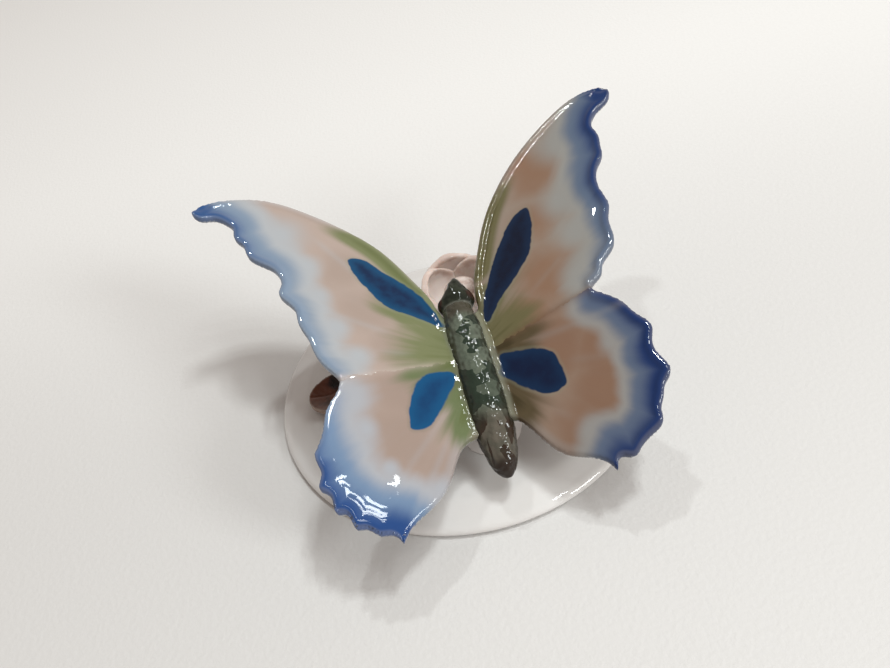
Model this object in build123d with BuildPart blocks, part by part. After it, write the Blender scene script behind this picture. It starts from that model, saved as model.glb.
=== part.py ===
"""A glazed porcelain butterfly on a low round plinth, with a blossom and a leaf below it.

Millimetres, +Z up, +Y towards the butterfly's head. The origin is the middle of the plinth's
underside. Every piece is a casting or a hand-formed petal of its own, joined to its neighbours
with slip, so the pieces meet along thin even seams.
"""

import os
from math import atan2, cos, degrees, radians, sin, sqrt, tan

from build123d import *

os.makedirs("parts", exist_ok=True)

# Seam between two joined pieces, and the overrun of every cutting tool
seam = 0.1
overrun = 5.0

# Plinth: a low disc with a fully rounded edge and a gently crowned top
plinth_diameter = 85.0
plinth_edge_height = 3.4
plinth_crown_height = 6.0

# Butterfly: set a little to the right of the plinth's middle, wings open above it
butterfly_offset = 2.2
wing_reach = 50.0
wing_thickness = 1.6
crease_place = -16.0
crease_height = 21.5
wing_rise_share = 0.30
fore_lift_share = 0.18
hind_lift_share = 0.45
flute_depth = 0.12
flute_angle = 15.0
flute_count = 7
flute_overlap_count = 1
costal_bead_diameter = 2.2

# Body: thorax and abdomen in one spindle that climbs towards the head
abdomen_tip_place = -37.8
abdomen_tip_height = 10.3
body_length = 33.5
body_rise = 14.1
body_width = 8.2
body_height = 7.6

# Head: a kite in plan, whose snout leans a little to the right
head_length = 6.9
head_rise = 2.9
head_lean = 1.3
head_width = 7.4
head_height = 5.4

# Support: the hump of clay that carries the thorax
support_place = -17.0
support_foot_width = 18.0
support_foot_length = 25.0
support_neck_width = 5.6
support_neck_length = 9.0
support_height = 20.0

# Blossom in front of the thorax: two rings of open cupped petals round a budded heart
flower_offset = 5.5
flower_place = 13.0
flower_foot_diameter = 12.4
flower_foot_height = 1.8
outer_petal_radius = 10.4
outer_petal_width = 16.4
outer_petal_height = 10.9
outer_ring_angle = 92.0
inner_petal_width = 14.6
inner_petal_height = 11.4
inner_ring_angle = 32.0
petal_thickness = 1.3
petal_count = 3
heart_diameter = 8.4
heart_height = 10.0

# Leaf: a cupped leaf that lies on the plinth under the left wings
leaf_edge_gap = 15.1
leaf_place = 0.6
leaf_angle = 12.0
leaf_length = 15.0
leaf_width = 11.6
leaf_thickness = 1.5
leaf_cup_radius = 15.0
leaf_bed_depth = 0.4

# Wing outlines as shares of the reach: outward from the body, forward of the crease's inner
# end. The left and right castings were trimmed by hand, so their scallops are not mirror images.
left_notch_shares = (0.515, -0.055)
left_lead_shares = (
    (0.02, 0.10),
    (0.07, 0.165),
    (0.085, 0.29),
    (0.145, 0.44),
    (0.25, 0.625),
    (0.375, 0.755),
    (0.52, 0.865),
    (0.68, 0.945),
    (0.82, 0.96),
    (0.92, 0.94),
    (0.98, 0.90),
)
left_fore_rim_shares = (
    (0.98, 0.90),
    (0.995, 0.87),
    (0.97, 0.84),
    (0.905, 0.84),
    (0.86, 0.81),
    (0.835, 0.77),
    (0.833, 0.71),
    (0.805, 0.67),
    (0.79, 0.605),
    (0.765, 0.575),
    (0.70, 0.525),
    (0.677, 0.475),
    (0.677, 0.43),
    (0.69, 0.385),
    (0.665, 0.34),
    (0.638, 0.29),
    (0.635, 0.23),
    (0.608, 0.145),
    (0.60, 0.10),
    (0.585, 0.045),
    (0.56, 0.0),
    left_notch_shares,
)
left_hind_rim_shares = (
    left_notch_shares,
    (0.555, -0.12),
    (0.59, -0.165),
    (0.613, -0.22),
    (0.64, -0.285),
    (0.667, -0.335),
    (0.66, -0.37),
    (0.66, -0.405),
    (0.674, -0.445),
    (0.65, -0.46),
    (0.64, -0.49),
    (0.635, -0.525),
    (0.607, -0.528),
    (0.592, -0.553),
    (0.58, -0.582),
    (0.55, -0.583),
    (0.507, -0.608),
    (0.47, -0.61),
    (0.437, -0.643),
)
left_inner_shares = (
    (0.437, -0.643),
    (0.373, -0.572),
    (0.30, -0.524),
    (0.205, -0.425),
    (0.135, -0.325),
    (0.09, -0.30),
    (0.02, -0.30),
)
right_notch_shares = (0.508, 0.048)
right_lead_shares = (
    (0.02, 0.14),
    (0.09, 0.24),
    (0.098, 0.33),
    (0.133, 0.43),
    (0.193, 0.563),
    (0.253, 0.67),
    (0.32, 0.757),
    (0.478, 0.906),
    (0.67, 1.02),
    (0.80, 1.062),
    (0.905, 1.05),
    (0.952, 1.02),
)
right_fore_rim_shares = (
    (0.952, 1.02),
    (0.96, 0.975),
    (0.938, 0.947),
    (0.88, 0.92),
    (0.838, 0.878),
    (0.825, 0.844),
    (0.83, 0.778),
    (0.814, 0.70),
    (0.807, 0.665),
    (0.773, 0.622),
    (0.745, 0.575),
    (0.728, 0.495),
    (0.733, 0.427),
    (0.732, 0.39),
    (0.71, 0.34),
    (0.696, 0.28),
    (0.676, 0.195),
    (0.642, 0.167),
    (0.605, 0.135),
    (0.586, 0.097),
    (0.55, 0.076),
    right_notch_shares,
)
right_hind_rim_shares = (
    right_notch_shares,
    (0.57, 0.003),
    (0.613, -0.047),
    (0.65, -0.12),
    (0.682, -0.18),
    (0.667, -0.216),
    (0.665, -0.28),
    (0.683, -0.35),
    (0.647, -0.382),
    (0.628, -0.416),
    (0.604, -0.452),
    (0.595, -0.49),
    (0.547, -0.515),
    (0.486, -0.543),
    (0.46, -0.558),
    (0.425, -0.545),
    (0.385, -0.585),
)
right_inner_shares = (
    (0.385, -0.585),
    (0.318, -0.504),
    (0.23, -0.456),
    (0.18, -0.399),
    (0.132, -0.316),
    (0.087, -0.265),
    (0.02, -0.27),
)
crease_root_share = 0.02
# Rings of the fan that a wing's fluted face is laid through
flute_ring_shares = (0.02, 0.3, 0.6, 0.9, 1.2, 1.45)

# Body sections from the abdomen's tip to the neck: how far along, how far up, how thick
body_section_shares = (
    (0.0, 0.0, 0.12),
    (0.015, 0.02, 0.36),
    (0.055, 0.07, 0.60),
    (0.14, 0.18, 0.83),
    (0.27, 0.36, 0.99),
    (0.45, 0.57, 1.0),
    (0.62, 0.74, 0.98),
    (0.80, 0.895, 0.92),
    (0.93, 0.97, 0.83),
    (1.0, 1.0, 0.76),
)
# Head sections from the neck to the snout: how far along, how far up, how wide, how high
head_section_shares = (
    (0.0, 0.0, 0.80, 0.84),
    (0.14, 0.12, 0.96, 0.96),
    (0.28, 0.26, 1.0, 1.0),
    (0.44, 0.42, 0.86, 0.95),
    (0.61, 0.60, 0.63, 0.82),
    (0.78, 0.79, 0.40, 0.60),
    (0.93, 0.95, 0.20, 0.36),
    (1.0, 1.0, 0.08, 0.14),
)
# Support sections from the foot to the thorax: how far up, how far from foot size to neck size
support_section_shares = (
    (0.1, 0.0),
    (0.32, 0.30),
    (0.50, 0.64),
    (0.75, 0.88),
    (1.0, 1.0),
)
# Leaf outline: along its length, across its width
leaf_outline_shares = (
    (-0.50, 0.0),
    (-0.40, 0.30),
    (-0.08, 0.50),
    (0.28, 0.36),
    (0.50, 0.0),
    (0.28, -0.36),
    (-0.08, -0.50),
    (-0.40, -0.30),
)
# Where a petal is widest, as a share of its height below its lip
petal_waist_share = 0.62
# The blossom's foot is narrower at the plinth than under the petals
flower_foot_taper_share = 0.86
# Rounding of the heart's top, as a share of its diameter
heart_rounding_share = 0.42

# The plinth's crowned top is part of a large sphere
dome_reach = plinth_diameter / 2 - plinth_edge_height / 2
dome_rise = plinth_crown_height - plinth_edge_height
dome_radius = (dome_reach**2 + dome_rise**2) / (2 * dome_rise)
dome_centre_height = plinth_crown_height - dome_radius
# The neck, where the body ends and the head begins
neck_place = abdomen_tip_place + body_length
neck_height = abdomen_tip_height + body_rise
# The blossom's foot stands on the plinth, and its petals cup round one middle above it, the
# inner ring just inside the outer one
flower_foot_top = plinth_crown_height + flower_foot_height
cup_rise = sqrt(outer_petal_radius**2 - (flower_foot_diameter / 2) ** 2)
cup_middle = (flower_offset, flower_place, flower_foot_top + cup_rise)
inner_petal_radius = outer_petal_radius - petal_thickness - seam
# The leaf lies a fixed way in from the plinth's edge, and its cup stands square on the slope
leaf_offset = leaf_edge_gap - plinth_diameter / 2
leaf_bed_height = sqrt(dome_radius**2 - leaf_offset**2 - leaf_place**2)
leaf_cup_reach_share = 1 + (leaf_cup_radius - leaf_bed_depth) / dome_radius
leaf_cup_middle = (
    leaf_offset * leaf_cup_reach_share,
    leaf_place * leaf_cup_reach_share,
    dome_centre_height + leaf_bed_height * leaf_cup_reach_share,
)


def section(place, width, height):
    """An ellipse that faces along the butterfly's body."""
    with BuildSketch(Plane(origin=place, x_dir=(1, 0, 0), z_dir=(0, 1, 0))) as ellipse:
        Ellipse(width / 2, height / 2)
    return ellipse.sketch


def body_sections(grow):
    """The body's sections, grown all round for the room that the body needs."""
    sections = []
    for along_share, up_share, thick_share in body_section_shares:
        place = (
            butterfly_offset,
            abdomen_tip_place + along_share * body_length,
            abdomen_tip_height + up_share * body_rise,
        )
        width = body_width * thick_share + 2 * grow
        height = body_height * thick_share + 2 * grow
        sections.append(section(place, width, height))
    return sections


def head_sections():
    """The head's sections, from a seam in front of the neck."""
    sections = []
    for along_share, up_share, wide_share, high_share in head_section_shares:
        place = (
            butterfly_offset + along_share * head_lean,
            neck_place + seam + along_share * head_length,
            neck_height + up_share * head_rise,
        )
        sections.append(section(place, head_width * wide_share, head_height * high_share))
    return sections


def wing_place(side, out_share, forward_share):
    """Place in plan of an outline point. Side is 1 on the right and -1 on the left."""
    return (
        butterfly_offset + side * wing_reach * out_share,
        crease_place + wing_reach * forward_share,
    )


def wing_height(notch_shares, lift_share, out_share, forward_share):
    """Height of a wing's upper face before its flutes. The crease runs out to the notch."""
    crease_share = out_share * notch_shares[1] / notch_shares[0]
    rise_share = wing_rise_share * out_share + lift_share * (forward_share - crease_share)
    return crease_height + wing_reach * rise_share


def fluted_face(side, notch_shares, lift_share, first_flute, last_flute):
    """Upper face of a wing: a fan of shallow flutes from the body that deepen outwards."""
    crease_turn = degrees(atan2(notch_shares[1], notch_shares[0]))
    steps_in_flute = 4
    rows = []
    for step in range(first_flute * steps_in_flute, last_flute * steps_in_flute + 1):
        flute = step / steps_in_flute
        turn = radians(crease_turn + flute_angle * flute)
        wave = flute_depth / 2 * cos(radians(360 * flute))
        row = []
        for ring_share in flute_ring_shares:
            out_share = ring_share * cos(turn)
            forward_share = ring_share * sin(turn)
            height = wing_height(notch_shares, lift_share, out_share, forward_share)
            place = wing_place(side, out_share, forward_share)
            row.append(Vector(*place, height + wave * ring_share))
        rows.append(row)
    return Face.make_surface_from_array_of_points(rows)


def wing_outline(side, edges_shares, setback):
    """A wing's outline in plan, set back from the crease by the seam where it has one."""
    with BuildSketch() as outline:
        with BuildLine():
            for edge_shares in edges_shares:
                places = [wing_place(side, *point_shares) for point_shares in edge_shares]
                Spline(*[(x, y - setback) for x, y in places])
            first = wing_place(side, *edges_shares[0][0])
            last = wing_place(side, *edges_shares[-1][-1])
            root = wing_place(side, crease_root_share, 0)
            corners = [(x, y - setback) for x, y in (last, root, first)]
            Polyline(*corners)
        make_face()
    return outline.sketch


def bead_path(side, notch_shares, lead_shares):
    """The middle line of a forewing's rolled leading edge, inset by the bead's radius."""
    inset_share = costal_bead_diameter / 2 / wing_reach
    places = []
    for before, here, after in zip(lead_shares, lead_shares[1:], lead_shares[2:]):
        out_step = after[0] - before[0]
        forward_step = after[1] - before[1]
        run = sqrt(out_step**2 + forward_step**2)
        out_share = here[0] + inset_share * forward_step / run
        forward_share = here[1] - inset_share * out_step / run
        height = wing_height(notch_shares, fore_lift_share, out_share, forward_share)
        place = wing_place(side, out_share, forward_share)
        places.append((*place, height - wing_thickness / 2))
    with BuildLine() as path:
        Spline(*places)
    return path.line


def petal_outline(width, height, turn):
    """A petal's outline, seen from the blossom's middle."""
    outward = (cos(radians(turn)), sin(radians(turn)), 0)
    across = (-sin(radians(turn)), cos(radians(turn)), 0)
    half_height = petal_waist_share * height
    middle = (flower_offset, flower_place, flower_foot_top + height - half_height)
    with BuildSketch(Plane(origin=middle, x_dir=across, z_dir=outward)) as outline:
        Ellipse(width / 2, half_height)
    return outline.sketch


def petal_sector(reach, turn):
    """The sector of the blossom's foot that one petal of a ring may stand on."""
    foot_plane = Plane(origin=(flower_offset, flower_place, flower_foot_top + seam))
    spread = reach * tan(radians(180 / petal_count))
    with BuildSketch(foot_plane.rotated((0, 0, turn))) as sector:
        Polygon((seam, 0), (reach, -spread), (reach, spread), align=None)
    return sector.sketch


# Plinth
with BuildPart() as plinth:
    with BuildSketch(Plane.XZ):
        with BuildLine():
            edge_middle = (plinth_diameter / 2, plinth_edge_height / 2)
            Polyline((0, plinth_crown_height), (0, 0), (dome_reach, 0))
            ThreePointArc((dome_reach, 0), edge_middle, (dome_reach, plinth_edge_height))
            TangentArc((0, plinth_crown_height), (dome_reach, plinth_edge_height), tangent=(1, 0))
        make_face()
    revolve(axis=Axis.Z)
plinth.part.label = "plinth"
export_step(plinth.part, "parts/plinth.step")

# Room that the crowned plinth takes out of the pieces that stand on it
with BuildPart() as plinth_room:
    with Locations((0, 0, dome_centre_height)):
        Sphere(dome_radius + seam)

# Body, and the room that it takes out of the pieces joined to it
with BuildPart() as body:
    loft(body_sections(0))
body.part.label = "body"
export_step(body.part, "parts/body.step")

with BuildPart() as body_room:
    loft(body_sections(seam))

# Head
with BuildPart() as head:
    loft(head_sections())
head.part.label = "head"
export_step(head.part, "parts/head.step")

# Support, from its spread foot on the plinth up to its seat round the body
with BuildPart() as support:
    for up_share, neck_share in support_section_shares:
        place = (butterfly_offset, support_place, support_height * up_share)
        width = support_foot_width + neck_share * (support_neck_width - support_foot_width)
        length = support_foot_length + neck_share * (support_neck_length - support_foot_length)
        with BuildSketch(Plane(origin=place)):
            Ellipse(width / 2, length / 2)
    loft()
    add(plinth_room.part, mode=Mode.SUBTRACT)
    add(body_room.part, mode=Mode.SUBTRACT)
support.part.label = "support"
export_step(support.part, "parts/support.step")

# Wings: a forewing's flutes fan out forward of its crease, a hindwing's fan out behind it
fore_fan = (-flute_overlap_count, flute_count)
hind_fan = (-flute_count, flute_overlap_count)
left_shares =(left_lead_shares, left_fore_rim_shares, left_hind_rim_shares, left_inner_shares)
right_shares = (right_lead_shares, right_fore_rim_shares, right_hind_rim_shares, right_inner_shares)
for side, name, notch_shares, edges_shares in (
    (-1, "left", left_notch_shares, left_shares),
    (1, "right", right_notch_shares, right_shares),
):
    with BuildPart() as forewing:
        extrude(wing_outline(side, edges_shares[:2], 0), amount=2 * wing_reach)
        fore_face = fluted_face(side, notch_shares, fore_lift_share, *fore_fan)
        extrude(fore_face, amount=wing_thickness, dir=(0, 0, -1), mode=Mode.INTERSECT)
        bead_line = bead_path(side, notch_shares, edges_shares[0])
        with BuildSketch(Plane(origin=bead_line @ 0, z_dir=bead_line % 0)):
            Circle(costal_bead_diameter / 2)
        sweep(path=bead_line)
        with Locations(bead_line @ 1):
            Sphere(costal_bead_diameter / 2)
        add(body_room.part, mode=Mode.SUBTRACT)
    forewing.part.label = f"forewing_{name}"
    export_step(forewing.part, f"parts/forewing_{name}.step")

    with BuildPart() as hindwing:
        extrude(wing_outline(side, edges_shares[2:], seam), amount=2 * wing_reach)
        hind_face = fluted_face(side, notch_shares, hind_lift_share, *hind_fan)
        extrude(hind_face, amount=wing_thickness, dir=(0, 0, -1), mode=Mode.INTERSECT)
        add(body_room.part, mode=Mode.SUBTRACT)
    hindwing.part.label = f"hindwing_{name}"
    export_step(hindwing.part, f"parts/hindwing_{name}.step")

# Foot that the blossom's petals stand on
with BuildPart() as flower_foot:
    with BuildSketch(Plane(origin=(flower_offset, flower_place, plinth_edge_height))):
        Circle(flower_foot_taper_share * flower_foot_diameter / 2)
    with BuildSketch(Plane(origin=(flower_offset, flower_place, flower_foot_top))):
        Circle(flower_foot_diameter / 2)
    loft()
    add(plinth_room.part, mode=Mode.SUBTRACT)
flower_foot.part.label = "flower_foot"
export_step(flower_foot.part, "parts/flower_foot.step")

# Heart of the blossom, and the room that it takes out of the petals
with BuildPart() as flower_heart:
    with BuildSketch(Plane(origin=(flower_offset, flower_place, flower_foot_top + seam))):
        Circle(heart_diameter / 2)
    extrude(amount=heart_height)
    fillet(flower_heart.edges().sort_by(Axis.Z)[-1], heart_rounding_share * heart_diameter)
flower_heart.part.label = "flower_heart"
export_step(flower_heart.part, "parts/flower_heart.step")

with BuildPart() as heart_room:
    with BuildSketch(Plane(origin=(flower_offset, flower_place, flower_foot_top))):
        Circle(heart_diameter / 2 + seam)
    extrude(amount=heart_height + overrun)

# Petals: each is cut from the spherical cup of its ring
for ring, radius, width, height, ring_angle in (
    ("outer", outer_petal_radius, outer_petal_width, outer_petal_height, outer_ring_angle),
    ("inner", inner_petal_radius, inner_petal_width, inner_petal_height, inner_ring_angle),
):
    for number in range(petal_count):
        turn = ring_angle + 360 * number / petal_count
        reach = radius + overrun
        with BuildPart() as petal:
            extrude(petal_outline(width, height, turn), amount=reach)
            extrude(petal_sector(reach, turn), amount=reach + height, mode=Mode.INTERSECT)
            with Locations(cup_middle):
                Sphere(radius, mode=Mode.INTERSECT)
                Sphere(radius - petal_thickness, mode=Mode.SUBTRACT)
            add(heart_room.part, mode=Mode.SUBTRACT)
        petal.part.label = f"{ring}_petal_{number + 1}"
        export_step(petal.part, f"parts/{petal.part.label}.step")

# Leaf
with BuildPart() as leaf:
    with BuildSketch(Plane(origin=(leaf_offset, leaf_place, 0)).rotated((0, 0, leaf_angle))):
        with BuildLine():
            points = [(leaf_length * along, leaf_width * across)
                      for along, across in leaf_outline_shares]
            Spline(*points, periodic=True)
        make_face()
    extrude(amount=leaf_cup_radius + plinth_crown_height)
    with Locations(leaf_cup_middle):
        Sphere(leaf_cup_radius, mode=Mode.INTERSECT)
        Sphere(leaf_cup_radius - leaf_thickness, mode=Mode.SUBTRACT)
    add(plinth_room.part, mode=Mode.SUBTRACT)
leaf.part.label = "leaf"
export_step(leaf.part, "parts/leaf.step")
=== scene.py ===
import math
from types import SimpleNamespace

import bpy
import numpy as np
from mathutils import Matrix, Vector, kdtree, noise


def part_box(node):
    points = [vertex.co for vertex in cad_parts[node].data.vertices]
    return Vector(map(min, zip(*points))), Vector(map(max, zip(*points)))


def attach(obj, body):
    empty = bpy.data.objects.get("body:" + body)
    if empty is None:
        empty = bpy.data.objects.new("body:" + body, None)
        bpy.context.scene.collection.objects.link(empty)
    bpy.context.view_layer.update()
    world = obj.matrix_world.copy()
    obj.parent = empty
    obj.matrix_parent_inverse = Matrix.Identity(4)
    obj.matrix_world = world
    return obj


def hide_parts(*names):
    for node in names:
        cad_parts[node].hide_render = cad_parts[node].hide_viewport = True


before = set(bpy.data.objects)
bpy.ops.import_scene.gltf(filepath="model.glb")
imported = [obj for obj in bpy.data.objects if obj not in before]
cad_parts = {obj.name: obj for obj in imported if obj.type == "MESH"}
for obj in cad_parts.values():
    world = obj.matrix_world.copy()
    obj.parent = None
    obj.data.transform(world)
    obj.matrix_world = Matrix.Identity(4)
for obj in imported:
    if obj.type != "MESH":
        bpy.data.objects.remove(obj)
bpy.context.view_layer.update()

# Everything is in metres, in the frame of the part; sizes of detail are given in millimetres
MM = 0.001
BUTTERFLY_X = 2.2 * MM
CREASE_Y = -16.0 * MM
WING_REACH = 50.0 * MM
FLOWER_X = 5.5 * MM
FLOWER_Y = 13.0 * MM

# Photograph: image size, focal length in pixels, and the camera's place and axes
IMAGE_WIDTH = 890
SENSOR_WIDTH = 36.0
FOCAL_PIXELS = 800.0
CAMERA_PLACE = (-7.51 * MM, -129.57 * MM, 135.55 * MM)
CAMERA_RIGHT = Vector((0.9617, -0.2100, -0.1763))
CAMERA_UP = Vector((0.2719, 0.6476, 0.7118))


# Curves of influence, on arrays


def ease(low, high, value):
    """0 at low, 1 at high, with a smooth start and end. High may be below low."""
    share = np.clip((value - low) / (high - low), 0.0, 1.0)
    return share * share * (3.0 - 2.0 * share)


def bell(centre, width, value):
    """1 at the centre, falling to about a third at the width."""
    return np.exp(-(((value - centre) / width) ** 2))


def rough(points, scale, seed):
    """Smooth noise from -1 to 1 at each point, with features of about the scale."""
    shift = Vector((seed * 7.3, seed * 3.1, seed * 5.7))
    return np.array([noise.noise(Vector(p) / scale + shift) for p in points])


# Meshes


def new_object(name, data):
    """An object in the scene that holds a mesh, a lamp or a camera."""
    obj = bpy.data.objects.new(name, data)
    bpy.context.scene.collection.objects.link(obj)
    return obj


def clay(node, voxel, passes):
    """A fine even mesh of a CAD node with softened edges, to be shaped and glazed."""
    draft = new_object(node + "_draft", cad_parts[node].data.copy())
    remesh = draft.modifiers.new("remesh", "REMESH")
    remesh.mode = "VOXEL"
    remesh.voxel_size = voxel
    soften = draft.modifiers.new("soften", "SMOOTH")
    soften.factor = 0.5
    soften.iterations = passes
    graph = bpy.context.evaluated_depsgraph_get()
    mesh = bpy.data.meshes.new_from_object(draft.evaluated_get(graph))
    bpy.data.objects.remove(draft)
    mesh.materials.clear()
    mesh.polygons.foreach_set("use_smooth", [True] * len(mesh.polygons))
    mesh.update()
    return new_object(node + "_glazed", mesh)


def triples(items, name):
    """Three numbers for each vertex or face of a mesh, a row for each."""
    flat = np.zeros(len(items) * 3, np.float32)
    items.foreach_get(name, flat)
    return flat.reshape(-1, 3).astype(float)


def get_points(mesh):
    return triples(mesh.vertices, "co")


def get_normals(mesh):
    return triples(mesh.vertex_normals, "vector")


def set_points(mesh, points):
    mesh.vertices.foreach_set("co", points.astype(np.float32).ravel())
    mesh.update()


def push(obj, heights):
    """Moves each vertex along its normal by its height, in metres."""
    mesh = obj.data
    set_points(mesh, get_points(mesh) + get_normals(mesh) * heights[:, None])


def facing_up(obj, least):
    """Which vertices look up: the upward part of their normal is more than the least."""
    return get_normals(obj.data)[:, 2] > least


def share_between(values, low, high):
    """0 where a value is low and 1 where it is high, evenly in between."""
    return (values - low) / (high - low)


def store(obj, name, values):
    """Keeps one number per vertex under a name, for the material to read."""
    layer = obj.data.attributes.new(name, "FLOAT", "POINT")
    layer.data.foreach_set("value", np.asarray(values, np.float32))


def finish_piece(obj, node, material):
    """The piece rides on the part's body, stands for its node and wears its material."""
    obj.data.materials.append(material)
    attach(obj, "root")
    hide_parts(node)


def nearest(points, targets):
    """Distance in plan from each point to the nearest target, in metres."""
    tree = kdtree.KDTree(len(targets))
    for index, target in enumerate(targets):
        tree.insert((target[0], target[1], 0.0), index)
    tree.balance()
    return np.array([tree.find((p[0], p[1], 0.0))[2] for p in points])


def side_walls(node):
    """Middles of a node's upright faces, which trace its outline."""
    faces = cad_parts[node].data.polygons
    upright = np.abs(triples(faces, "normal")[:, 2]) < 0.3
    return triples(faces, "center")[upright]


# Materials


class Glaze:
    """A glazed porcelain material, built up from a few kinds of node."""

    def __init__(self, name):
        self.material = bpy.data.materials.new(name)
        self.material.use_nodes = True
        self.nodes = self.material.node_tree.nodes
        self.links = self.material.node_tree.links
        self.shader = self.nodes["Principled BSDF"]
        coordinates = self.nodes.new("ShaderNodeTexCoord")
        self.place = coordinates.outputs["Object"]

    def feed(self, socket, value):
        """Links a socket, or sets it to a plain number or colour."""
        if isinstance(value, bpy.types.NodeSocket):
            self.links.new(value, socket)
        elif isinstance(value, tuple):
            socket.default_value = (*value, 1.0)[: len(socket.default_value)]
        else:
            socket.default_value = value

    def stored(self, name):
        """A number that was stored per vertex."""
        node = self.nodes.new("ShaderNodeAttribute")
        node.attribute_name = name
        return node.outputs["Fac"]

    def math(self, operation, *values):
        node = self.nodes.new("ShaderNodeMath")
        node.operation = operation
        for socket, value in zip(node.inputs, values):
            self.feed(socket, value)
        return node.outputs[0]

    def plus(self, value, other):
        return self.math("ADD", value, other)

    def times(self, value, factor):
        return self.math("MULTIPLY", value, factor)

    def ease(self, value, low, high, to_low=0.0, to_high=1.0):
        """From one number at low to another at high, with a smooth start and end."""
        node = self.nodes.new("ShaderNodeMapRange")
        node.interpolation_type = "SMOOTHSTEP"
        for name, number in (
            ("Value", value),
            ("From Min", low),
            ("From Max", high),
            ("To Min", to_low),
            ("To Max", to_high),
        ):
            self.feed(node.inputs[name], number)
        return node.outputs["Result"]

    def mix(self, share, first, second):
        """The first colour at a share of 0 and the second at 1."""
        node = self.nodes.new("ShaderNodeMix")
        node.data_type = "RGBA"
        self.feed(node.inputs["Factor"], share)
        self.feed(node.inputs["A"], first)
        self.feed(node.inputs["B"], second)
        return node.outputs["Result"]

    def texture(self, kind, size, place):
        """A texture node with features of about the size, in the unit of its place."""
        node = self.nodes.new(kind)
        self.links.new(place, node.inputs["Vector"])
        node.inputs["Scale"].default_value = 1.0 / size
        return node

    def grain(self, size, detail, place=None):
        """Noise from 0 to 1. Its size is in metres unless it gets a place of its own."""
        node = self.texture("ShaderNodeTexNoise", size, place or self.place)
        node.inputs["Detail"].default_value = detail
        return node.outputs["Fac"]

    def patches(self, size, stretch, warp):
        """One random number from 0 to 1 for each brush-sized patch of the surface."""
        mapping = self.nodes.new("ShaderNodeMapping")
        self.links.new(self.place, mapping.inputs["Vector"])
        mapping.inputs["Scale"].default_value = stretch
        stretched = mapping.outputs["Vector"]
        ripple = self.texture("ShaderNodeTexNoise", size, stretched)
        shift = self.nodes.new("ShaderNodeVectorMath")
        shift.operation = "MULTIPLY_ADD"
        self.links.new(ripple.outputs["Color"], shift.inputs[0])
        shift.inputs[1].default_value = (warp * size,) * 3
        self.links.new(stretched, shift.inputs[2])
        cells = self.texture("ShaderNodeTexVoronoi", size, shift.outputs["Vector"])
        parts = self.nodes.new("ShaderNodeSeparateColor")
        self.links.new(cells.outputs["Color"], parts.inputs["Color"])
        return parts.outputs["Red"]

    def bump(self, height, depth):
        """Bumps whose height runs from 0 to 1 times the depth, in metres."""
        node = self.nodes.new("ShaderNodeBump")
        node.inputs["Strength"].default_value = 1.0
        node.inputs["Distance"].default_value = depth
        self.links.new(height, node.inputs["Height"])
        self.links.new(node.outputs["Normal"], self.shader.inputs["Normal"])
        self.links.new(node.outputs["Normal"], self.shader.inputs["Coat Normal"])

    def done(self, colour, roughness, coat=1.0, scatter=0.0):
        """Sets the colour and the clear coat. Under a coat the base has no gloss of its own."""
        self.feed(self.shader.inputs["Base Color"], colour)
        self.feed(self.shader.inputs["Roughness"], roughness)
        self.shader.inputs["Specular IOR Level"].default_value = 0.0 if coat else 0.5
        self.shader.inputs["Coat Weight"].default_value = coat
        self.shader.inputs["Coat Roughness"].default_value = 0.03
        self.shader.inputs["Coat IOR"].default_value = 1.4
        if scatter:
            self.shader.inputs["Subsurface Weight"].default_value = scatter
            self.shader.inputs["Subsurface Radius"].default_value = (1.0, 0.8, 0.6)
            self.shader.inputs["Subsurface Scale"].default_value = 0.5 * MM
        return self.material


# Wings

# Outlines of the four painted spots, as shares of the reach: outward, forward of the crease
LEFT_FORE_SPOT = (
    (0.39, 0.565), (0.32, 0.56), (0.255, 0.485), (0.176, 0.403), (0.122, 0.322), (0.092, 0.245),
    (0.077, 0.18), (0.083, 0.162), (0.147, 0.209), (0.23, 0.257), (0.29, 0.305), (0.342, 0.398),
    (0.376, 0.472),
)
RIGHT_FORE_SPOT = (
    (0.427, 0.58), (0.411, 0.467), (0.364, 0.36), (0.308, 0.30), (0.245, 0.25), (0.173, 0.194),
    (0.113, 0.132), (0.094, 0.16), (0.126, 0.253), (0.18, 0.352), (0.257, 0.469), (0.333, 0.556),
    (0.375, 0.584),
)
LEFT_HIND_SPOT = (
    (0.135, -0.046), (0.091, -0.055), (0.101, -0.098), (0.148, -0.157), (0.211, -0.233),
    (0.255, -0.262), (0.304, -0.261), (0.308, -0.236), (0.286, -0.159), (0.245, -0.091),
    (0.194, -0.055),
)
RIGHT_HIND_SPOT = (
    (0.107, -0.035), (0.16, -0.043), (0.233, -0.065), (0.287, -0.095), (0.308, -0.123),
    (0.318, -0.223), (0.288, -0.249), (0.237, -0.246), (0.182, -0.206), (0.095, -0.117),
    (0.098, -0.077),
)
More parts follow.
